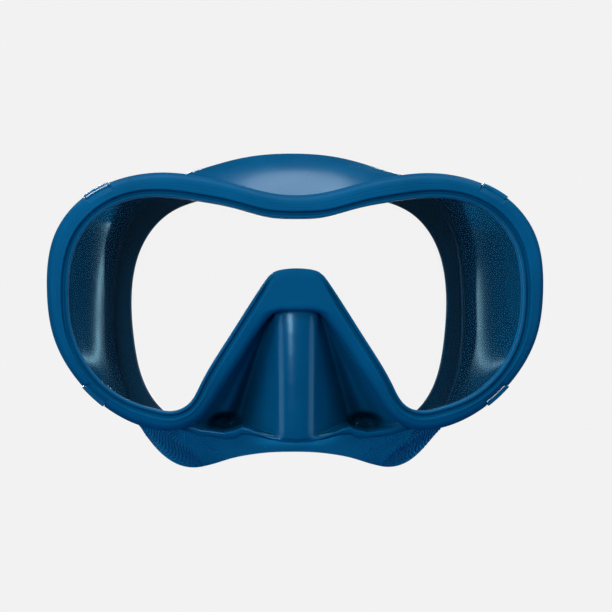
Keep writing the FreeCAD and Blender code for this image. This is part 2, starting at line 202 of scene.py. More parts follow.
def loop_tangents(points, lengths):
    """Tangents of the smooth closed curve through the points: a periodic cubic spline."""
    count = len(points)
    system = np.zeros((count, count))
    right = np.zeros_like(points)
    for i in range(count):
        before, after = lengths[i - 1], lengths[i]
        ahead, behind = (i + 1) % count, i - 1
        system[i, behind] += after
        system[i, i] += 2 * (before + after)
        system[i, ahead] += before
        right[i] = 3 * (after * (points[i] - points[behind]) / before
                        + before * (points[ahead] - points[i]) / after)
    return np.linalg.solve(system, right)


def smooth_loop(points, places):
    """Points of the smooth closed curve at the places given, which count its corners from 0."""
    flat = points[:, :2]
    lengths = np.linalg.norm(np.roll(flat, -1, 0) - flat, axis=1)
    tangents = loop_tangents(points, lengths)
    index = np.floor(places).astype(int) % len(points)
    t = (places - np.floor(places))[:, None]
    ahead = (index + 1) % len(points)
    span = lengths[index][:, None]
    leaving = (t**3 - 2 * t**2 + t) * span * tangents[index]
    arriving = (t**3 - t**2) * span * tangents[ahead]
    return ((2 * t**3 - 3 * t**2 + 1) * points[index] + leaving
            + (3 * t**2 - 2 * t**3) * points[ahead] + arriving)


def even_places(points, count):
    """Places along a smooth closed curve that stand an even distance apart."""
    fine = np.linspace(0, len(points), len(points) * FINE_STEPS + 1)
    track = smooth_loop(points, fine)[:, :2]
    run = np.concatenate([[0], np.cumsum(np.linalg.norm(np.diff(track, axis=0), axis=1))])
    return np.interp(np.arange(count) * run[-1] / count, run, fine)


rim_outer = both_sides([pair[0] for pair in RIM_SECTIONS])
rim_inner = both_sides([pair[1] for pair in RIM_SECTIONS])


def nearest_place(points, spot):
    """The place along a smooth closed curve that comes closest to a spot."""
    fine = np.linspace(0, len(points), len(points) * FINE_STEPS, endpoint=False)
    track = smooth_loop(points, fine)[:, :2]
    return fine[np.argmin(np.linalg.norm(track - np.array(spot), axis=1))]


def run_between(points, start, end):
    """Distance along a smooth closed curve from one place to another."""
    track = smooth_loop(points, np.linspace(start, end, FINE_STEPS))[:, :2]
    return np.linalg.norm(np.diff(track, axis=0), axis=1).sum()


def pad_span(spot, length):
    """First and last place of a stretch of the rim's outer edge, centred on a spot."""
    middle = nearest_place(rim_outer, spot)
    near = 0.2
    pace = run_between(rim_outer, middle - near, middle + near) / (2 * near)
    return middle - length / 2 / pace, middle + length / 2 / pace


def soft_step(value, low, high):
    """Rises smoothly from 0 at the low value to 1 at the high one."""
    t = np.clip((value - low) / (high - low), 0, 1)
    return t * t * (3 - 2 * t)


def rim_places():
    """Even stations, with extra ones close to the ends of the four pads."""
    places = list(even_places(rim_outer, RIM_STATIONS))
    for spot in PAD_MIDDLES:
        for end in pad_span(spot, PAD_LENGTH):
            places += [end + shift for shift in END_SHIFTS]
    return np.unique(np.mod(places, len(rim_outer)))


# Depth of the outer flank at each distance in from the outer edge, back to front.
RIM_FLANK = [
    (2.6, 11.0), (1.5, 10.9), (0.85, 10.4), (0.62, 9.4), (0.5, 8.4), (0.14, 8.0), (0.0, 7.5),
    (0.0, 7.0), (0.14, 6.6), (0.42, 6.3), (0.45, 5.4), (0.5, 4.4), (0.68, 3.4), (1.0, 2.45),
    (1.5, 1.6), (2.1, 0.98), (2.7, 0.62),
]
# Depth of the face at each part of the way from flank to groove, with its two shallow lines.
RIM_FACE = [
    (0.0, 0.44), (0.12, 0.32), (0.25, 0.24), (0.29, 0.28), (0.33, 0.2), (0.48, 0.12),
    (0.58, 0.08), (0.62, 0.13), (0.66, 0.06), (0.8, 0.02), (0.9, 0.0), (1.0, 0.0),
]
FACE_STARTS, FACE_ENDS = 3.3, 2.75
# The flank and the start of the face stand this share closer to the edge on the bridge plate.
PLATE_PINCH = 0.6
PLATE_EDGE_ROUND = 0.25
# The rim steps in by this much behind each pad, with a gap round the pad.
PAD_RECESS, PAD_GAP, RECESS_BACK = 0.8, 0.4, 8.2
# Distance out from the window's edge, depth with the groove, and depth on the plain bridge plate.
RIM_GROOVE = [
    (2.58, 0.08, 0.0), (2.44, 0.35, 0.0), (2.36, 0.9, 0.02), (2.26, 1.6, 0.03),
    (2.05, 1.98, 0.05), (1.7, 2.08, 0.07), (1.4, 1.98, 0.1), (1.2, 1.62, 0.12),
    (1.05, 1.22, 0.16), (0.8, 0.98, 0.2), (0.5, 0.92, 0.3), (0.22, 1.08, 0.5), (0.05, 1.5, 0.9),
    (0.0, 2.2, 2.0), (0.0, 2.95, 2.95), (2.05, 2.98, 2.98), (2.05, 7.02, 7.02), (0.0, 7.05, 7.05),
    (0.0, 9.6, 9.6), (0.4, 10.7, 10.7), (1.2, 11.0, 11.0),
]


def rim_rows():
    """The rim's sections, one at each station, as points (x, depth, z)."""
    places = rim_places()
    outer = smooth_loop(rim_outer, places)
    inner = smooth_loop(rim_inner, places)
    across = inner - outer
    band = np.linalg.norm(across, axis=1)[:, None]
    across /= band
    # The bridge plate is the stretch near the middle of the notch: crisp edge, no groove or lines.
    notch = len(RIM_SECTIONS) - 1
    from_middle = np.abs(places - notch)
    plate = (1 - soft_step(from_middle, 2.9, 4.3))[:, None]
    groove = soft_step(from_middle, 2.0, 3.4)[:, None]
    recess = np.zeros((len(places), 1))
    for spot in PAD_MIDDLES:
        start, end = pad_span(spot, PAD_LENGTH + PAD_GAP)
        inside = (places >= start) & (places <= end)
        recess[inside] = PAD_RECESS
    columns = []
    for inset, depth in RIM_FLANK:
        inset = inset * (1 - PLATE_PINCH * plate) + recess * (depth < RECESS_BACK)
        columns.append(np.hstack([outer + across * inset, np.full_like(band, depth)]))
    start = FACE_STARTS * (1 - PLATE_PINCH * plate)
    for part, depth in RIM_FACE:
        inset = start + (band - FACE_ENDS - start) * part
        level = depth * (1 - plate) + PLATE_EDGE_ROUND * (1 - part) ** 3 * plate
        columns.append(np.hstack([outer + across * inset, level]))
    for inset, cut, plain in RIM_GROOVE:
        level = cut * groove + plain * (1 - groove)
        columns.append(np.hstack([inner - across * inset, level]))
    rows = np.stack(columns, axis=1)
    return rows[:, :, [0, 2, 1]]


def shown_piece(name, mesh):
    """A mesh as a piece of the mask, at the origin."""
    piece = bpy.data.objects.new(name, mesh)
    scene.collection.objects.link(piece)
    return piece


def closed_piece(name, points, faces):
    """A piece from points in millimetres and faces that close it, all turned outwards."""
    mesh = bpy.data.meshes.new(name)
    mesh.from_pydata((points * MM).tolist(), [], faces)
    shape = bmesh.new()
    shape.from_mesh(mesh)
    bmesh.ops.recalc_face_normals(shape, faces=shape.faces)
    shape.to_mesh(mesh)
    shape.free()
    mesh.shade_smooth()
    return shown_piece(name, mesh)


def skin(name, rows, ring=True):
    """A closed mesh over rows of closed sections: a ring, or a bar with flat ends."""
    count, size, _ = rows.shape
    faces = []
    for i in range(count if ring else count - 1):
        here, ahead = i * size, (i + 1) % count * size
        for j in range(size):
            across = (j + 1) % size
            faces.append((here + j, here + across, ahead + across, ahead + j))
    if not ring:
        faces.append(tuple(range(size)))
        faces.append(tuple(reversed(range((count - 1) * size, count * size))))
    return closed_piece(name, rows.reshape(-1, 3), faces)


def linked(tree, kind, **inputs):
    """A new node in a material, with its inputs set or linked."""
    node = tree.nodes.new(kind)
    for name, value in inputs.items():
        socket = node.inputs[name.replace("_", " ")]
        if isinstance(value, bpy.types.NodeSocket):
            tree.links.new(value, socket)
        else:
            socket.default_value = value
    return node


def two_tones(tree, pattern, shader, dark, light, low, high):
    """Colours the shader from dark to light as the pattern rises from low to high."""
    tone = tree.nodes.new("ShaderNodeValToRGB")
    tree.links.new(pattern.outputs["Fac"], tone.inputs["Fac"])
    first, last = tone.color_ramp.elements
    first.position, last.position = low, high
    first.color, last.color = (*dark, 1), (*light, 1)
    tree.links.new(tone.outputs["Color"], shader.inputs["Base Color"])


def patchy_gloss(tree, pattern, shader, low, high):
    """Lets the shader's roughness drift between two values with the pattern."""
    gloss = linked(tree, "ShaderNodeMapRange", Value=pattern.outputs["Fac"], To_Min=low,
                   To_Max=high)
    tree.links.new(gloss.outputs["Result"], shader.inputs["Roughness"])


def raised_grain(tree, pattern, shader, strength, height):
    """A bump of the given height in metres that follows the pattern."""
    bump = linked(tree, "ShaderNodeBump", Height=pattern.outputs["Fac"], Strength=strength,
                  Distance=height)
    tree.links.new(bump.outputs["Normal"], shader.inputs["Normal"])


def shaded(colour, share):
    """A colour made darker or lighter by a share."""
    return [min(1, c * share) for c in colour]


def silicone_material(name, colour, roughness, grain, shine=0.45, tint=(0.4, 0.77, 1.0)):
    """Moulded silicone: slow drifts of tone, a fine matte grain and patchy gloss."""
    material = bpy.data.materials.new(name)
    shader = principled(material)
    tree = material.node_tree
    where = tree.nodes.new("ShaderNodeTexCoord").outputs["Object"]
    drift = linked(tree, "ShaderNodeTexNoise", Vector=where, Scale=38.0, Detail=3.0)
    two_tones(tree, drift, shader, shaded(colour, 0.86), shaded(colour, 1.12), 0.3, 0.72)
    smear = linked(tree, "ShaderNodeTexNoise", Vector=where, Scale=90.0, Detail=4.0)
    patchy_gloss(tree, smear, shader, roughness - 0.06, roughness + 0.08)
    pores = linked(tree, "ShaderNodeTexNoise", Vector=where, Scale=2600.0, Detail=2.0)
    raised_grain(tree, pores, shader, grain, 0.00008)
    shader.inputs["Specular IOR Level"].default_value = shine
    shader.inputs["Specular Tint"].default_value = (*tint, 1)
    return material


SILICONE_BLUE = (0.0006, 0.076, 0.19)
rim_silicone = silicone_material("rim_silicone", SILICONE_BLUE, 0.46, 0.25, 0.06, (0.2, 0.75, 1.0))

front_rim = skin("front_rim_moulding", rim_rows())
front_rim.data.materials.append(rim_silicone)
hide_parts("front_rim")
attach(front_rim, "mask")


# ------------------------------------------------------------------ frame pads
# The hard ring in the rim shows only at four glossy pads, moulded proud of the silicone at the
# upper and lower corners, with crisp bevelled ends.
# Each point of a pad's section: how far in from the rim's edge, and its depth.
PAD_INNER_INSET = 2.3
PAD_SECTION = [
    (PAD_INNER_INSET, 2.9), (0.75, 2.9), (0.3, 3.0), (0.0, 3.3), (-0.22, 3.9), (-0.3, 4.7),
    (-0.3, 6.2), (-0.22, 7.0), (0.0, 7.6), (0.3, 7.95), (0.75, 8.05), (PAD_INNER_INSET, 8.05),
]


PAD_BEVEL = 0.35
PAD_MIDDLE_DEPTH, PAD_HALF_DEPTH = 5.5, 2.6


def pad_rows(spot):
    """One pad's sections along the rim, which shrink over a small bevel at both ends."""
    start, end = pad_span(spot, PAD_LENGTH)
    edge = PAD_BEVEL / PAD_LENGTH
    stations = np.concatenate([[0, edge * 0.3, edge], np.linspace(edge * 2, 1 - edge * 2, 22),
                               [1 - edge, 1 - edge * 0.3, 1]])
    drops = np.zeros(len(stations))
    drops[[0, -1]], drops[[1, -2]] = PAD_BEVEL, 0.1
    places = np.mod(start + (end - start) * stations, len(rim_outer))
    outer = smooth_loop(rim_outer, places)
    across = smooth_loop(rim_inner, places) - outer
    across /= np.linalg.norm(across, axis=1)[:, None]
    columns = []
    for inset, depth in PAD_SECTION:
        inward = inset + drops[:, None] * (inset < PAD_INNER_INSET)
        level = depth + (PAD_MIDDLE_DEPTH - depth) * drops[:, None] / PAD_HALF_DEPTH
        columns.append(np.hstack([outer + across * inward, level]))
    return np.stack(columns, axis=1)[:, :, [0, 2, 1]]


def joined(name, pieces):
    """Several meshes as one piece."""
    shape = bmesh.new()
    for piece in pieces:
        shape.from_mesh(piece.data)
        bpy.data.objects.remove(piece)
    mesh = bpy.data.meshes.new(name)
    shape.to_mesh(mesh)
    shape.free()
    mesh.shade_smooth()
    return shown_piece(name, mesh)


def plastic_material(name, colour, roughness, grain_scale, grain):
    """Moulded plastic: faint flow marks in tone and gloss, over a fine spark-eroded grain."""
    material = bpy.data.materials.new(name)
    shader = principled(material)
    tree = material.node_tree
    where = tree.nodes.new("ShaderNodeTexCoord").outputs["Object"]
    flow = linked(tree, "ShaderNodeTexNoise", Vector=where, Scale=140.0, Detail=3.0,
                  Distortion=0.8)
    two_tones(tree, flow, shader, shaded(colour, 0.82), shaded(colour, 1.15), 0.3, 0.7)
    patchy_gloss(tree, flow, shader, roughness - 0.05, roughness + 0.07)
    speck = linked(tree, "ShaderNodeTexNoise", Vector=where, Scale=grain_scale, Detail=2.0)
    raised_grain(tree, speck, shader, grain, 0.00006)
    return material


pad_bars = [skin("pad_bar", pad_rows(spot), ring=False) for spot in PAD_MIDDLES]
frame_pads = joined("frame_pads", pad_bars)
frame_pads.data.materials.append(
    plastic_material("glossy_frame_plastic", (0.002, 0.09, 0.21), 0.14, 900.0, 0.05))
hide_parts("inner_frame")
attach(frame_pads, "mask")


# ------------------------------------------------------------------ skirt and face seal
# The soft wall behind the rim, moulded in one with it: it flares to the forehead and cheeks, and at
# the back it turns in to a thin flange that lies on the face.
# Each outline is the +X half of the wall's outer side at one depth, from brow to upper lip. The
# first one is the wall's front edge, which gives its own depth at each point.
SKIRT_FRONT = [
    (0, 34.5, 9.5), (20, 38, 9.5), (38, 41.3, 9.5), (58, 40.6, 9.5), (75, 31, 9.5), (82, 4, 9.5),
    (76, -24, 9.5), (64, -37, 9.5), (46, -44.6, 9.5), (34, -47.9, 8.4), (25.5, -49.0, 7.2),
    (18.6, -48.0, 6.2), (9.6, -49.5, 4.8), (0, -50.7, 4.2),
]
SKIRT_OUTLINES = {
    25: [(0, 46.4), (20, 46.8), (38, 44.2), (57, 40.5), (71, 29), (76, 3), (72, -25), (61, -40),
         (44, -50.4), (33, -54.2), (24.5, -54.2), (17.5, -53.4), (9, -52.8), (0, -52.6)],
    45: [(0, 54.9), (20, 51.6), (37, 46.2), (53, 41), (66, 28), (71, 2), (68, -26), (57, -44.8),
         (34.5, -61.2), (28.5, -60.9), (22, -59.4), (15, -58.3), (7.5, -57.8), (0, -57.8)],
    80: [(0, 70), (20, 63.5), (36, 50), (49, 42), (61, 27), (66, 0), (64, -28), (55, -52),
         (36.5, -74), (29.5, -73), (21, -71), (14, -69.5), (7, -68.6), (0, -68)],
}
OPENING_EDGE = [
    (0, 40), (17, 38.6), (31, 36.6), (45, 31.5), (55, 19.5), (59, 1), (58, -16), (53.5, -33),
    (45, -43), (36, -46.4), (27, -47.3), (19, -46.8), (9.5, -45.6), (0, -45),
]
FACE_RADIUS, FACE_FRONT = 79.0, 40.0
SKIRT_STATIONS = 460
WALL = 2.1
# The wall's columns from front to back, and the one from which its inner side runs forward again.
WALL_COLUMNS, INNER_WALL_COLUMN = 34, 28
# How far short of the face the wall stops, and how far in along the face its bend ends.
WALL_STOP, HEM_BEND = 1.2, 1.6
# The seal's thickness at its free edge and 6 mm in from it, where the inner wall's bend begins.
HEM_THICK, SEAL_THICK, SEAL_FIRM = 0.75, 1.9, 6.0


def face_depth(x):
    """Depth of the face's curve at a distance from the middle."""
    return FACE_FRONT + FACE_RADIUS - np.sqrt(FACE_RADIUS**2 - x**2)


def through_knots(knots, values, at):
    """A natural cubic through four knots of each station, at one depth for each station."""
    steps = [knots[i + 1] - knots[i] for i in range(3)]
    slopes = [(values[i + 1] - values[i]) / steps[i][:, None] for i in range(3)]
    a, b = 2 * (steps[0] + steps[1]), steps[1]
    c, d = steps[1], 2 * (steps[1] + steps[2])
    first, second = 6 * (slopes[1] - slopes[0]), 6 * (slopes[2] - slopes[1])
    scale = (a * d - b * c)[:, None]
    bend = [np.zeros_like(first), (first * d[:, None] - second * b[:, None]) / scale,
            (second * a[:, None] - first * c[:, None]) / scale, np.zeros_like(first)]
    result = np.zeros_like(values[0])
    for i in range(3):
        inside = at >= knots[i] if i else np.ones(len(at), bool)
        left, step = (at - knots[i])[:, None], steps[i][:, None]
        right = step - left
        piece = (bend[i] * right**3 + bend[i + 1] * left**3) / (6 * step)
        piece += (values[i] / step - bend[i] * step / 6) * right
        piece += (values[i + 1] / step - bend[i + 1] * step / 6) * left
        result = np.where(inside[:, None], piece, result)
    return result


skirt_guide = both_sides(SKIRT_OUTLINES[25])
skirt_places = even_places(skirt_guide, SKIRT_STATIONS)


def wall_points(places, depths):
    """Points (x, depth, z) of the outer wall, at places round it and depths behind the front."""
    edge = smooth_loop(both_sides(SKIRT_FRONT), places)
    knots = [edge[:, 2]] + [np.full(len(places), float(y)) for y in SKIRT_OUTLINES]
    values = [edge[:, :2]]
    for half_outline in SKIRT_OUTLINES.values():
        values.append(smooth_loop(both_sides(half_outline), places))
    flat = through_knots(knots, values, depths)
    return np.column_stack([flat[:, 0], depths, flat[:, 1]])


def rear_depths(places):
    """Depth at which the wall meets the face's curve."""
    depths = np.full(len(places), 50.0)
    for _ in range(25):
        depths = face_depth(wall_points(places, depths)[:, 0])
    return depths


def bezier(start, corner, end, count):
    """Points of a bend from start to end, rounded inside its corner, without the two ends."""
    points = []
    for step in range(1, count + 1):
        t = step / (count + 1)
        points.append(start * (1 - t) ** 2 + corner * 2 * t * (1 - t) + end * t**2)
    return points


def toward_lens(points):
    """Unit vectors at right angles to the face's curve, pointing away from the face."""
    offset = points - np.array([0, FACE_FRONT + FACE_RADIUS, 0])
    offset[:, 2] = 0
    return offset / np.linalg.norm(offset, axis=1)[:, None]


def skirt_rows():
    """The skirt's sections, and the material of each column: 0 outside, 1 seal, 2 inside."""
    rear = rear_depths(skirt_places)
    front = smooth_loop(both_sides(SKIRT_FRONT), skirt_places)[:, 2]
    steps = np.linspace(0, 1, WALL_COLUMNS)
    wall = [wall_points(skirt_places, front + (rear - WALL_STOP - front) * t) for t in steps]
    grid = np.stack(wall, axis=1)
    along = np.roll(grid, -1, 0) - np.roll(grid, 1, 0)
    back = np.gradient(grid, axis=1)
    inward = np.cross(along, back)
    inward /= np.linalg.norm(inward, axis=2)[:, :, None]
    if np.sum(inward * grid * [1, 0, 1]) > 0:
        inward = -inward
    corner = wall_points(skirt_places, rear)
    opening = smooth_loop(both_sides(OPENING_EDGE), skirt_places)
    hem = np.column_stack([opening[:, 0], face_depth(opening[:, 0]), opening[:, 1]])

    def on_face(part, thickness):
        """A point of the flange, part of the way from wall to opening, this far off the face."""
        flat = corner + (hem - corner) * part
        flat[:, 1] = face_depth(flat[:, 0])
        return flat + toward_lens(flat) * thickness

    reach = np.linalg.norm(hem - corner, axis=1)[:, None]
    turn = HEM_BEND / reach
    columns = [grid[:, i] for i in range(WALL_COLUMNS)]
    columns += bezier(grid[:, -1], corner, on_face(turn, 0), 4)
    # The seal's material, darkened with painted shade, starts just past the bend onto the face, and
    # ends just short of the wall.
    seal_column = len(columns) + 2
    columns += [on_face(turn + (1 - turn) * t, 0.0) for t in np.linspace(0, 1, 10)]
    columns.append(on_face(1 + 0.35 / reach, 0.35))
    firm = SEAL_FIRM / reach
    inner = [on_face(1 + (firm - 1) * t, HEM_THICK + (SEAL_THICK - HEM_THICK) * t)
             for t in np.linspace(0, 1, 10)]
    columns += inner
    wall_end = grid[:, INNER_WALL_COLUMN] + inward[:, INNER_WALL_COLUMN] * WALL
    columns += bezier(inner[-1], on_face(2.0 / reach, 2.2), wall_end, 7)
    inside_column = len(columns) - 2
    for i in range(INNER_WALL_COLUMN, -1, -1):
        columns.append(grid[:, i] + inward[:, i] * WALL)
    lip = (grid[:, 0] + columns[-1]) / 2
    columns.append(lip - np.array([0, 0.5, 0]))
    rows = np.stack(columns, axis=1)
    material = np.zeros(rows.shape[1], int)
    material[seal_column:inside_column] = 1
    material[inside_column:] = 2
    return rows, material


rows, column_material = skirt_rows()
skirt = skin("skirt_and_face_seal", rows)
skirt.data.materials.append(
    silicone_material("skirt_silicone", SILICONE_BLUE, 0.24, 0.04, 0.56))
# The seal is the same silicone, matte, with painted shade: its colour is darkened to 0.3 for the
# shadow on the flange.
skirt.data.materials.append(
    silicone_material("seal_silicone_painted_shade", shaded(SILICONE_BLUE, 0.3), 0.5, 0.3, 0.3))
# The inner wall is glossier, and its colour, darkened to 0.42, is painted shade inside the chamber.
skirt.data.materials.append(
    silicone_material("polished_silicone_painted_shade", shaded(SILICONE_BLUE, 0.42), 0.15, 0.05, 0.6))
skirt.data.polygons.foreach_set("material_index", np.tile(column_material, len(rows)).tolist())
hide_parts("skirt", "face_seal")
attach(skirt, "mask")


# ------------------------------------------------------------------ cheek texture and mould lines
# Moulded in one with the skirt: a patch of small raised pips on each lower cheek, a thin border
# beside it, and the witness line that the mould leaves near each finger well.
PIP_ALONG, PIP_BACK = 1.15, 1.4
PIP_SIZE = (0.9, 1.05, 0.3)
# A patch runs between two places round the wall, narrower away from its middle depth.
PATCH_START, PATCH_END, PATCH_SLANT = 7.1, 8.42, 0.004
PATCH_FRONT, PATCH_MIDDLE, PATCH_ROWS, SEAL_MARGIN = 12.5, 30.0, 35, 4


def surface_frames(places, depths):
    """Points on the outer wall with their outward normals and directions round the skirt."""
    spots = wall_points(places, depths)
    nudge, push = 0.01, 0.1
    round_way = wall_points(places + nudge, depths) - wall_points(places - nudge, depths)
    back_way = wall_points(places, depths + push) - wall_points(places, depths - push)
    outward = np.cross(round_way, back_way)
    outward /= np.linalg.norm(outward, axis=1)[:, None]
    outward *= np.where(np.sum(outward * spots * [1, 0, 1], axis=1) < 0, -1, 1)[:, None]
    round_way /= np.linalg.norm(round_way, axis=1)[:, None]
    return spots, outward, round_way


def turned_to(outward, along):
    """Euler angles that turn Z to outward and X to along."""
    turns = []
    for up, way in zip(outward, along):
        up, way = Vector(up), Vector(way)
        side = up.cross(way).normalized()
        way = side.cross(up)
        turns.append(Matrix((way, side, up)).transposed().to_euler())
    return turns


def pip_tree():
    """Geometry Nodes tree that sets a flattened ball of given length, width and height at every
    point, turned as the point's attribute says, and makes the balls one real mesh."""
    tree = bpy.data.node_groups.new("raised_pips", "GeometryNodeTree")
    tree.interface.new_socket("Points", in_out="INPUT", socket_type="NodeSocketGeometry")
    for size_name in ("Length", "Width", "Height"):
        tree.interface.new_socket(size_name, in_out="INPUT", socket_type="NodeSocketFloat")
    tree.interface.new_socket("Finish", in_out="INPUT", socket_type="NodeSocketMaterial")
    tree.interface.new_socket("Pips", in_out="OUTPUT", socket_type="NodeSocketGeometry")
    start, end = tree.nodes.new("NodeGroupInput"), tree.nodes.new("NodeGroupOutput")
    ball = linked(tree, "GeometryNodeMeshUVSphere", Segments=8, Rings=5, Radius=1.0)
    size = linked(tree, "ShaderNodeCombineXYZ", X=start.outputs["Length"],
                  Y=start.outputs["Width"], Z=start.outputs["Height"])
    read = tree.nodes.new("GeometryNodeInputNamedAttribute")
    read.data_type = "FLOAT_VECTOR"
    read.inputs["Name"].default_value = "turn"
    turn = linked(tree, "FunctionNodeEulerToRotation", Euler=read.outputs["Attribute"])
    place = linked(tree, "GeometryNodeInstanceOnPoints", Points=start.outputs["Points"],
                   Instance=ball.outputs["Mesh"], Rotation=turn.outputs["Rotation"],
                   Scale=size.outputs["Vector"])
    real = linked(tree, "GeometryNodeRealizeInstances", Geometry=place.outputs["Instances"])
    smooth = linked(tree, "GeometryNodeSetShadeSmooth", Geometry=real.outputs["Geometry"])
    paint = linked(tree, "GeometryNodeSetMaterial", Geometry=smooth.outputs["Geometry"],
                   Material=start.outputs["Finish"])
    tree.links.new(paint.outputs["Geometry"], end.inputs["Pips"])
    return tree


raised_pips = pip_tree()


def repeated(name, spots, turns, sizes, material):
    """One piece made of a pip at every spot; sizes are its length, width and height."""
    mesh = bpy.data.meshes.new(name + "_spots")
    mesh.from_pydata((np.array(spots) * MM).tolist(), [], [])
    turn = mesh.attributes.new("turn", "FLOAT_VECTOR", "POINT")
    turn.data.foreach_set("vector", [angle for euler in turns for angle in euler])
    holder = shown_piece(name + "_spots", mesh)
    modifier = holder.modifiers.new("pips", "NODES")
    modifier.node_group = raised_pips
    length, width, height = sizes
    values = {"Length": length / 2 * MM, "Width": width / 2 * MM, "Height": height * MM,
              "Finish": material}
    for item in raised_pips.interface.items_tree:
        if item.in_out == "INPUT" and item.name in values:
            modifier[item.identifier] = values[item.name]
    shown = holder.evaluated_get(bpy.context.evaluated_depsgraph_get())
    made = bpy.data.meshes.new_from_object(shown)
    made.name = name
    bpy.data.objects.remove(holder)
    return shown_piece(name, made)


def cheek_pips(sign):
    """Rows of pips, each row shifted half a step, over one lower cheek."""
    guide_places = np.linspace(PATCH_START, PATCH_END, 200)
    path = wall_points(guide_places, np.full(len(guide_places), PATCH_MIDDLE))
    run = np.concatenate([[0], np.cumsum(np.linalg.norm(np.diff(path, axis=0), axis=1))])
    places, depths = [], []
    for row in range(PATCH_ROWS):
        depth = PATCH_FRONT + row * PIP_BACK
        start = PIP_ALONG / 2 * (row % 2)
        steps = np.arange(start, run[-1], PIP_ALONG)
        row_places = np.interp(steps, run, guide_places)
        last_place = PATCH_END - PATCH_SLANT * abs(depth - PATCH_MIDDLE)
        inside = (depth < rear_depths(row_places) - SEAL_MARGIN) & (row_places < last_place)
        places += row_places[inside].tolist()
        depths += [depth] * int(inside.sum())
    places = np.array(places)
    spots, outward, along = surface_frames(places, np.array(depths))
    spots, outward, along = [v * [sign, 1, 1] for v in (spots, outward, along)]
    return spots, turned_to(outward, along)


def bead(places, depths, radius):
    """A thin raised line that runs over the wall through the given places and depths."""
    spots, outward, _ = surface_frames(places, depths)
    along = np.gradient(spots, axis=0)
    along /= np.linalg.norm(along, axis=1)[:, None]
    side = np.cross(along, outward)
    ring = np.linspace(0, 2 * math.pi, 9)[:-1]
    rows = np.stack([spots + radius * (math.cos(a) * outward + math.sin(a) * side) for a in ring],
                    axis=1)
    return skin("bead", rows, ring=False)


pip_silicone = silicone_material("pip_silicone", shaded(SILICONE_BLUE, 1.3), 0.5, 0.2)
spots, turns = [], []
for sign in (1, -1):
    side_spots, side_turns = cheek_pips(sign)
    spots += side_spots.tolist()
    turns += side_turns
cheek_texture = repeated("cheek_texture", spots, turns, PIP_SIZE, pip_silicone)
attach(cheek_texture, "mask")

# Each line: its places round the wall at even steps, its first depth and its radius.
LINE_STEPS, LINE_END = np.linspace(0, 1, 60), 42
WITNESS = np.interp(LINE_STEPS, [0, 0.45, 0.6, 1], [8.75, 9.62, 9.66, 9.3])
BORDER = np.interp(LINE_STEPS, [0, 1], [8.56, 8.5])
lines = []
for flip in (False, True):
    for places, first, radius in ((WITNESS, 13, 0.13), (BORDER, PATCH_FRONT, 0.2)):
        round_places = len(skirt_guide) - places if flip else places
        lines.append(bead(round_places, first + (LINE_END - first) * LINE_STEPS, radius))
mould_lines = joined("skirt_mould_lines", lines)
# Painted highlight: the lines are coloured twice as light as the silicone, so that they read as
# thin light lines catching the light.
mould_lines.data.materials.append(
    silicone_material("mould_line_silicone_painted_highlight", shaded(SILICONE_BLUE, 2), 0.3, 0.1))
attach(mould_lines, "mask")


# ------------------------------------------------------------------ nose pocket
# Soft silicone between the rim's legs: a rounded ridge down the middle, flat flanks that fall back
# into two dark finger wells, a round pit at the foot of each well, and a thin rolled lower lip.
POCKET_TOP = -3.2
POCKET_THICK = 1.5
POCKET_ROWS, POCKET_COLUMNS = 190, 201
# The lowest part of the pocket, with the lip, has a larger share of the rows.
LIP_ROWS, LIP_SHARE = 70, 0.86
# How far the pocket's sides reach in under the rim's legs.
UNDER_RIM = 2.2
# The ridge's shoulder is a flattened quarter round; the lip rolls back over the skirt's edge.
RIDGE_DROP, RIDGE_FLATNESS, RIDGE_FALL, LIP_ROLL = 4.6, 2.15, 0.465, 3.6
# Where the leg's foot meets the rim, and how the side of the well climbs to it.
LEG_DEPTH = 9.2
PIT_SIDE, PIT_HEIGHT, PIT_HALF_WIDTH, PIT_HALF_HEIGHT, PIT_DEEP = 25.4, -44.3, 5.0, 3.1, 6.5


def leg_edge(z):
    """Distance from the middle to the rim's leg at a height."""
    heights = [-50, -46, -43, -34.5, -18.8, -7.3, -5.3, -3]
    reaches = [40, 38, 34.6, 28, 18, 9.8, 8.6, 8.4]
    return np.interp(z, heights, reaches)


def lip_line(side):
    """Height of the pocket's lower edge at a distance from the middle."""
    spots = [0, 5, 9.6, 14, 17, 19, 21, 25.5, 31, 34, 42]
    heights = [-50.3, -49.9, -48.8, -47.2, -45.8, -45.4, -46.4, -47.5, -46.9, -46.6, -44]
    return np.interp(side, spots, heights)


def lip_drop(side):
    """How far the rolled lip reaches down over the skirt's front edge."""
    return np.interp(side, [0, 10, 14, 18, 22, 25.5, 34, 42],
                     [0.8, 1.0, 1.5, 2.9, 3.1, 2.4, 2.3, 2.0])


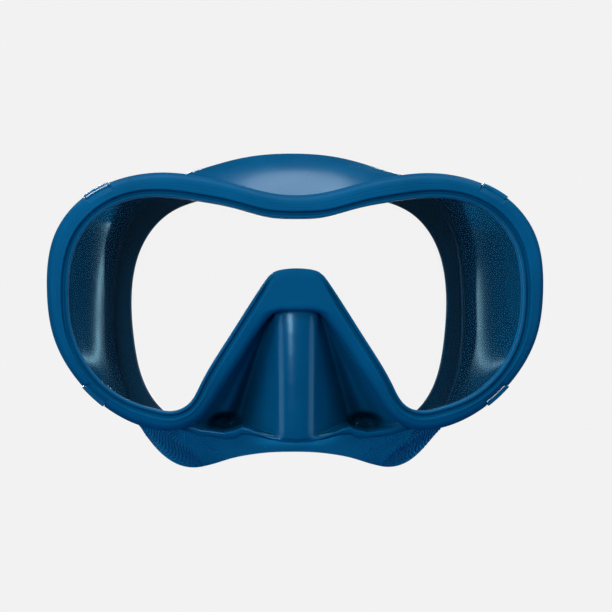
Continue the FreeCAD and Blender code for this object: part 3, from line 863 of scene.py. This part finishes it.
def pocket_depth(side, z):
    """Depth of the pocket's outside at a point seen from in front."""
    leg = leg_edge(z)
    ridge = np.interp(z, [-50, -30, -12, -5], [7.0, 7.1, 7.4, 7.9])
    crown = np.interp(z, [-50, -47, -40, -30, -20, -12, -8, -5.5, -3],
                      [2.0, 1.6, 1.3, 1.32, 1.65, 2.1, 2.5, 2.95, 3.7])
    round_off = 1 - (1 - 0.9 * np.clip(side / ridge, 0, 1) ** RIDGE_FLATNESS) ** RIDGE_FALL
    ridge_side = crown + RIDGE_DROP * (1 - 0.1**RIDGE_FALL)
    well = np.clip(np.interp(z, [-46, -8, -3], [20.4, 9.9, 8.8]), ridge + 0.8, leg - 0.6)
    floor = np.interp(z, [-48, -40, -26, -12, -5], [20.5, 20.0, 17.2, 12.4, 9.6])
    t = np.clip((side - ridge) / (well - ridge), 0, 1)
    on_flank = ridge_side + (floor - ridge_side) * (1.06 * t - 0.06 * t**3)
    t = np.clip((side - well) / (leg - well), 0, 1.3)
    climb = np.interp(t, [0, 0.12, 0.38, 0.62, 1.0, 1.3], [0, 0.02, 0.42, 0.52, 0.95, 1.2])
    on_leg = floor + (LEG_DEPTH - floor) * climb
    depth = np.where(side < ridge, crown + RIDGE_DROP * round_off,
                     np.where(side < well, on_flank, on_leg))
    off_centre = (((side - PIT_SIDE) / PIT_HALF_WIDTH) ** 2
                  + ((z - PIT_HEIGHT) / PIT_HALF_HEIGHT) ** 2)
    depth = depth + PIT_DEEP * np.exp(-off_centre**3)
    lip = lip_line(side)
    shelf = np.interp(side, [0, 7, 10, 14, 18.6, 25.5, 34, 46],
                      [3.1, 3.4, 3.9, 4.5, 5.2, 6.4, 7.8, 9])
    rise = np.interp(side, [0, 6, 8, 15, 18, 22, 42], [0.9, 1.1, 1.9, 1.5, 0.9, 1.7, 2.6])
    near = 1 - soft_step(z - lip, 0.1, rise)
    depth = depth * (1 - near) + shelf * near
    share = np.clip(lip - z, 0, 4) / lip_drop(side)
    return depth + LIP_ROLL * (1 - np.sqrt(1 - np.clip(share, 0, 0.97) ** 2))


def pocket_front():
    """A grid of points over the pocket's outside, eased where its parts meet."""
    downs = np.concatenate([np.linspace(0, LIP_SHARE, POCKET_ROWS - LIP_ROWS, endpoint=False),
                            np.linspace(LIP_SHARE, 1, LIP_ROWS)])
    share = np.linspace(-1, 1, POCKET_COLUMNS)
    front = np.zeros((POCKET_ROWS, POCKET_COLUMNS, 3))
    for i, down in enumerate(downs):
        side = np.full(POCKET_COLUMNS, 10.0)
        for _ in range(12):
            foot = lip_line(side) - lip_drop(side)
            z = POCKET_TOP + (foot - POCKET_TOP) * down
            side = np.abs(share) * (leg_edge(z) + UNDER_RIM)
        front[i] = np.column_stack([np.sign(share) * side, pocket_depth(side, z), z])
    for _ in range(5):
        front[1:-1, :, 1] = (front[:-2, :, 1] + 2 * front[1:-1, :, 1] + front[2:, :, 1]) / 4
        front[:, 1:-1, 1] = (front[:, :-2, 1] + 2 * front[:, 1:-1, 1] + front[:, 2:, 1]) / 4
    return front


def pocket_wall():
    """Points and faces of the pocket: its outside, a parallel inside, and the edge between."""
    front = pocket_front()
    normal = np.cross(np.gradient(front, axis=0), np.gradient(front, axis=1))
    normal /= np.maximum(np.linalg.norm(normal, axis=2), 1e-9)[:, :, None]
    normal *= np.where(normal[:, :, 1:2] < 0, -1, 1)
    rear = front + normal * POCKET_THICK
    rows, columns = POCKET_ROWS, POCKET_COLUMNS
    total = rows * columns
    faces = []
    for i in range(rows - 1):
        for j in range(columns - 1):
            a, b = i * columns + j, i * columns + j + 1
            c, d = (i + 1) * columns + j + 1, (i + 1) * columns + j
            faces.append((a, b, c, d))
            faces.append((total + d, total + c, total + b, total + a))
    edge = list(range(columns)) + [i * columns + columns - 1 for i in range(1, rows)]
    edge += [(rows - 1) * columns + j for j in range(columns - 2, -1, -1)]
    edge += [i * columns for i in range(rows - 2, 0, -1)]
    for a, b in zip(edge, edge[1:] + edge[:1]):
        faces.append((b, a, total + a, total + b))
    return np.concatenate([front.reshape(-1, 3), rear.reshape(-1, 3)]), faces


def painted_shade_inward(material, near, far, darkest):
    """Painted shade: the pocket's colour grows darker toward the back of the wells, in place of the
    shade that falls there.
    """
    tree = material.node_tree
    colour = principled(material).inputs["Base Color"]
    tone = colour.links[0].from_socket
    where = tree.nodes.new("ShaderNodeTexCoord").outputs["Object"]
    back = linked(tree, "ShaderNodeSeparateXYZ", Vector=where)
    share = linked(tree, "ShaderNodeMapRange", Value=back.outputs["Y"], From_Min=near * MM,
                   From_Max=far * MM, To_Min=1.0, To_Max=darkest)
    deep = tree.nodes.new("ShaderNodeVectorMath")
    deep.operation = "SCALE"
    tree.links.new(tone, deep.inputs[0])
    tree.links.new(share.outputs["Result"], deep.inputs["Scale"])
    tree.links.new(deep.outputs["Vector"], colour)


pocket_silicone = silicone_material("pocket_silicone", shaded(SILICONE_BLUE, 0.86), 0.19, 0.08,
                                    0.3)
# The wells' darker colour is painted shade, not a change in the silicone.
painted_shade_inward(pocket_silicone, 9.0, 19.0, 0.36)
pocket = closed_piece("nose_pocket_moulding", *pocket_wall())
pocket.data.materials.append(pocket_silicone)
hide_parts("nose_pocket")
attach(pocket, "mask")


# ------------------------------------------------------------------ lens
# One pane of clear tempered glass, cut to the brow line and round the nose. The rim is moulded
# round its edge and holds it, so it has no screws or clips of its own.
GLASS_BENDING = 1.12


def glass_material():
    material = bpy.data.materials.new("tempered_glass")
    shader = principled(material)
    shader.inputs["Base Color"].default_value = (1, 1, 1, 1)
    shader.inputs["Transmission Weight"].default_value = 1
    shader.inputs["Roughness"].default_value = 0
    shader.inputs["IOR"].default_value = GLASS_BENDING
    return material


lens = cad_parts["lens"]
lens.data.materials.clear()
lens.data.materials.append(glass_material())
lens.visible_shadow = False


# ------------------------------------------------------------------ strap buckles
# One at each temple: a plastic ear fixed behind the rim, a yoke that swivels on a steel pin, a
# buckle plate on a fold pin, and a release lever held closed by a leaf spring.
def steel_material():
    """Drawn stainless pin: fine scratches one way, faint stains in tone and gloss."""
    material = bpy.data.materials.new("stainless_steel")
    shader = principled(material)
    tree = material.node_tree
    where = tree.nodes.new("ShaderNodeTexCoord").outputs["Object"]
    drawn = linked(tree, "ShaderNodeMapping", Vector=where, Scale=(9000.0, 9000.0, 700.0))
    scratch = linked(tree, "ShaderNodeTexNoise", Vector=drawn.outputs["Vector"], Scale=1.0,
                     Detail=3.0)
    stain = linked(tree, "ShaderNodeTexNoise", Vector=where, Scale=700.0, Detail=3.0)
    two_tones(tree, stain, shader, (0.42, 0.43, 0.45), (0.6, 0.61, 0.62), 0.35, 0.65)
    patchy_gloss(tree, scratch, shader, 0.22, 0.42)
    raised_grain(tree, scratch, shader, 0.12, 0.00002)
    shader.inputs["Metallic"].default_value = 1
    return material


buckle_plastic = plastic_material("buckle_plastic", (0.004, 0.035, 0.085), 0.42, 2200.0, 0.35)
steel = steel_material()


MERGE_DISTANCE = 0.000002
FLAT_ANGLE, CRISP_ANGLE = math.radians(1), math.radians(32)


def softened(node_name, width, material, body):
    """The CAD part with every crisp edge rounded over, as a moulded or tumbled piece has."""
    shape = bmesh.new()
    shape.from_mesh(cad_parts[node_name].data)
    bmesh.ops.remove_doubles(shape, verts=shape.verts, dist=MERGE_DISTANCE)
    bmesh.ops.dissolve_limit(shape, angle_limit=FLAT_ANGLE, verts=shape.verts, edges=shape.edges)
    crisp = [edge for edge in shape.edges
             if len(edge.link_faces) == 2 and edge.calc_face_angle() > CRISP_ANGLE]
    bmesh.ops.bevel(shape, geom=crisp, offset=width * MM, segments=3, profile=0.5,
                    affect="EDGES", clamp_overlap=True)
    bmesh.ops.recalc_face_normals(shape, faces=shape.faces)
    mesh = bpy.data.meshes.new(node_name + "_finished")
    shape.to_mesh(mesh)
    shape.free()
    mesh.materials.append(material)
    mesh.shade_smooth()
    piece = shown_piece(node_name + "_finished", mesh)
    sharp = piece.modifiers.new("facets", "WEIGHTED_NORMAL")
    sharp.keep_sharp = True
    shown = piece.evaluated_get(bpy.context.evaluated_depsgraph_get())
    piece.data = bpy.data.meshes.new_from_object(shown)
    piece.modifiers.clear()
    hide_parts(node_name)
    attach(piece, body)


# Each part: how wide its edges are rounded, its material's slot, and the body that it rides on.
FIXED_PARTS = [("strap_mount", 0.35, "buckle_plastic"), ("swivel_pin", 0.25, "steel")]
MOVING_PARTS = [
    ("swivel_yoke", 0.3, "buckle_plastic", "yoke"), ("fold_pin", 0.15, "steel", "yoke"),
    ("buckle_body", 0.35, "buckle_plastic", "buckle"), ("roller_axle", 0.12, "steel", "buckle"),
    ("lever_pin", 0.1, "steel", "buckle"), ("lever_spring", 0.05, "steel", "buckle"),
    ("release_lever", 0.25, "buckle_plastic", "lever"),
]
finishes = {"buckle_plastic": buckle_plastic, "steel": steel}
for side in ("left", "right"):
    for part, width, slot in FIXED_PARTS:
        softened(f"{part}_{side}", width, finishes[slot], "mask")
    for part, width, slot, body in MOVING_PARTS:
        softened(f"{part}_{side}", width, finishes[slot], f"{body}_{side}")


# ------------------------------------------------------------------ strap rollers and lever grips
# The roller is a hard plastic tube with fourteen shallow flutes that grip the strap, and it turns
# on a steel axle. The lever has a row of small ridges for the thumb, moulded in one with it.
FLUTES, FLUTE_DEPTH, ROLLER_BORE = 14, 0.24, 1.32
GRIP_RIDGES, GRIP_SIZE, GRIP_SUNK = 6, (14.0, 0.52, 0.26), 0.04


def node_extent(name):
    """Lowest and highest corner of a CAD part, in millimetres."""
    spots = np.array([tuple(vertex.co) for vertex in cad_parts[name].data.vertices]) / MM
    return spots.min(0), spots.max(0)


def fluted_roller(side):
    """The tube of one side's roller, fluted on the outside between its rounded ends."""
    low, high = node_extent(f"strap_roller_{side}")
    middle = (low + high) / 2
    radius = (high[0] - low[0]) / 2
    angles = np.linspace(0, 2 * math.pi, FLUTES * 14, endpoint=False)
    flute = FLUTE_DEPTH * np.clip(0.5 - 0.62 * np.cos(FLUTES * angles), 0, 1) ** 0.8
    # Each point: distance from the axle's line, height, and its share of the flutes' depth.
    section = [(ROLLER_BORE, low[2], 0), (ROLLER_BORE, high[2], 0),
               (radius - 0.6, high[2], 0.2),
               (radius - 0.25, high[2] - 0.06, 0.6), (radius - 0.06, high[2] - 0.25, 1),
               (radius, high[2] - 0.6, 1), (radius, low[2] + 0.6, 1),
               (radius - 0.06, low[2] + 0.25, 1), (radius - 0.25, low[2] + 0.06, 0.6),
               (radius - 0.6, low[2], 0.2)]
    columns = []
    for out, height, share in section:
        reach = out - flute * share
        columns.append(np.column_stack([middle[0] + reach * np.cos(angles),
                                        middle[1] + reach * np.sin(angles),
                                        np.full_like(angles, height)]))
    roller = skin(f"fluted_roller_{side}", np.stack(columns, axis=1))
    roller.data.materials.append(buckle_plastic)
    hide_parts(f"strap_roller_{side}")
    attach(roller, f"roller_{side}")


def lever_grip(side, sign):
    """Upright ridges across the outer face of one side's lever, near its free end."""
    low, high = node_extent(f"release_lever_{side}")
    face = high[0] - GRIP_SUNK if sign > 0 else low[0] + GRIP_SUNK
    spots = [(face, depth, (low[2] + high[2]) / 2)
             for depth in np.linspace(high[1] - 5.0, high[1] - 1.0, GRIP_RIDGES)]
    turns = turned_to([(sign, 0, 0)] * GRIP_RIDGES, [(0, 0, 1)] * GRIP_RIDGES)
    grip = repeated(f"lever_grip_{side}", spots, turns, GRIP_SIZE, buckle_plastic)
    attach(grip, f"lever_{side}")


for side, sign in (("left", -1), ("right", 1)):
    fluted_roller(side)
    lever_grip(side, sign)
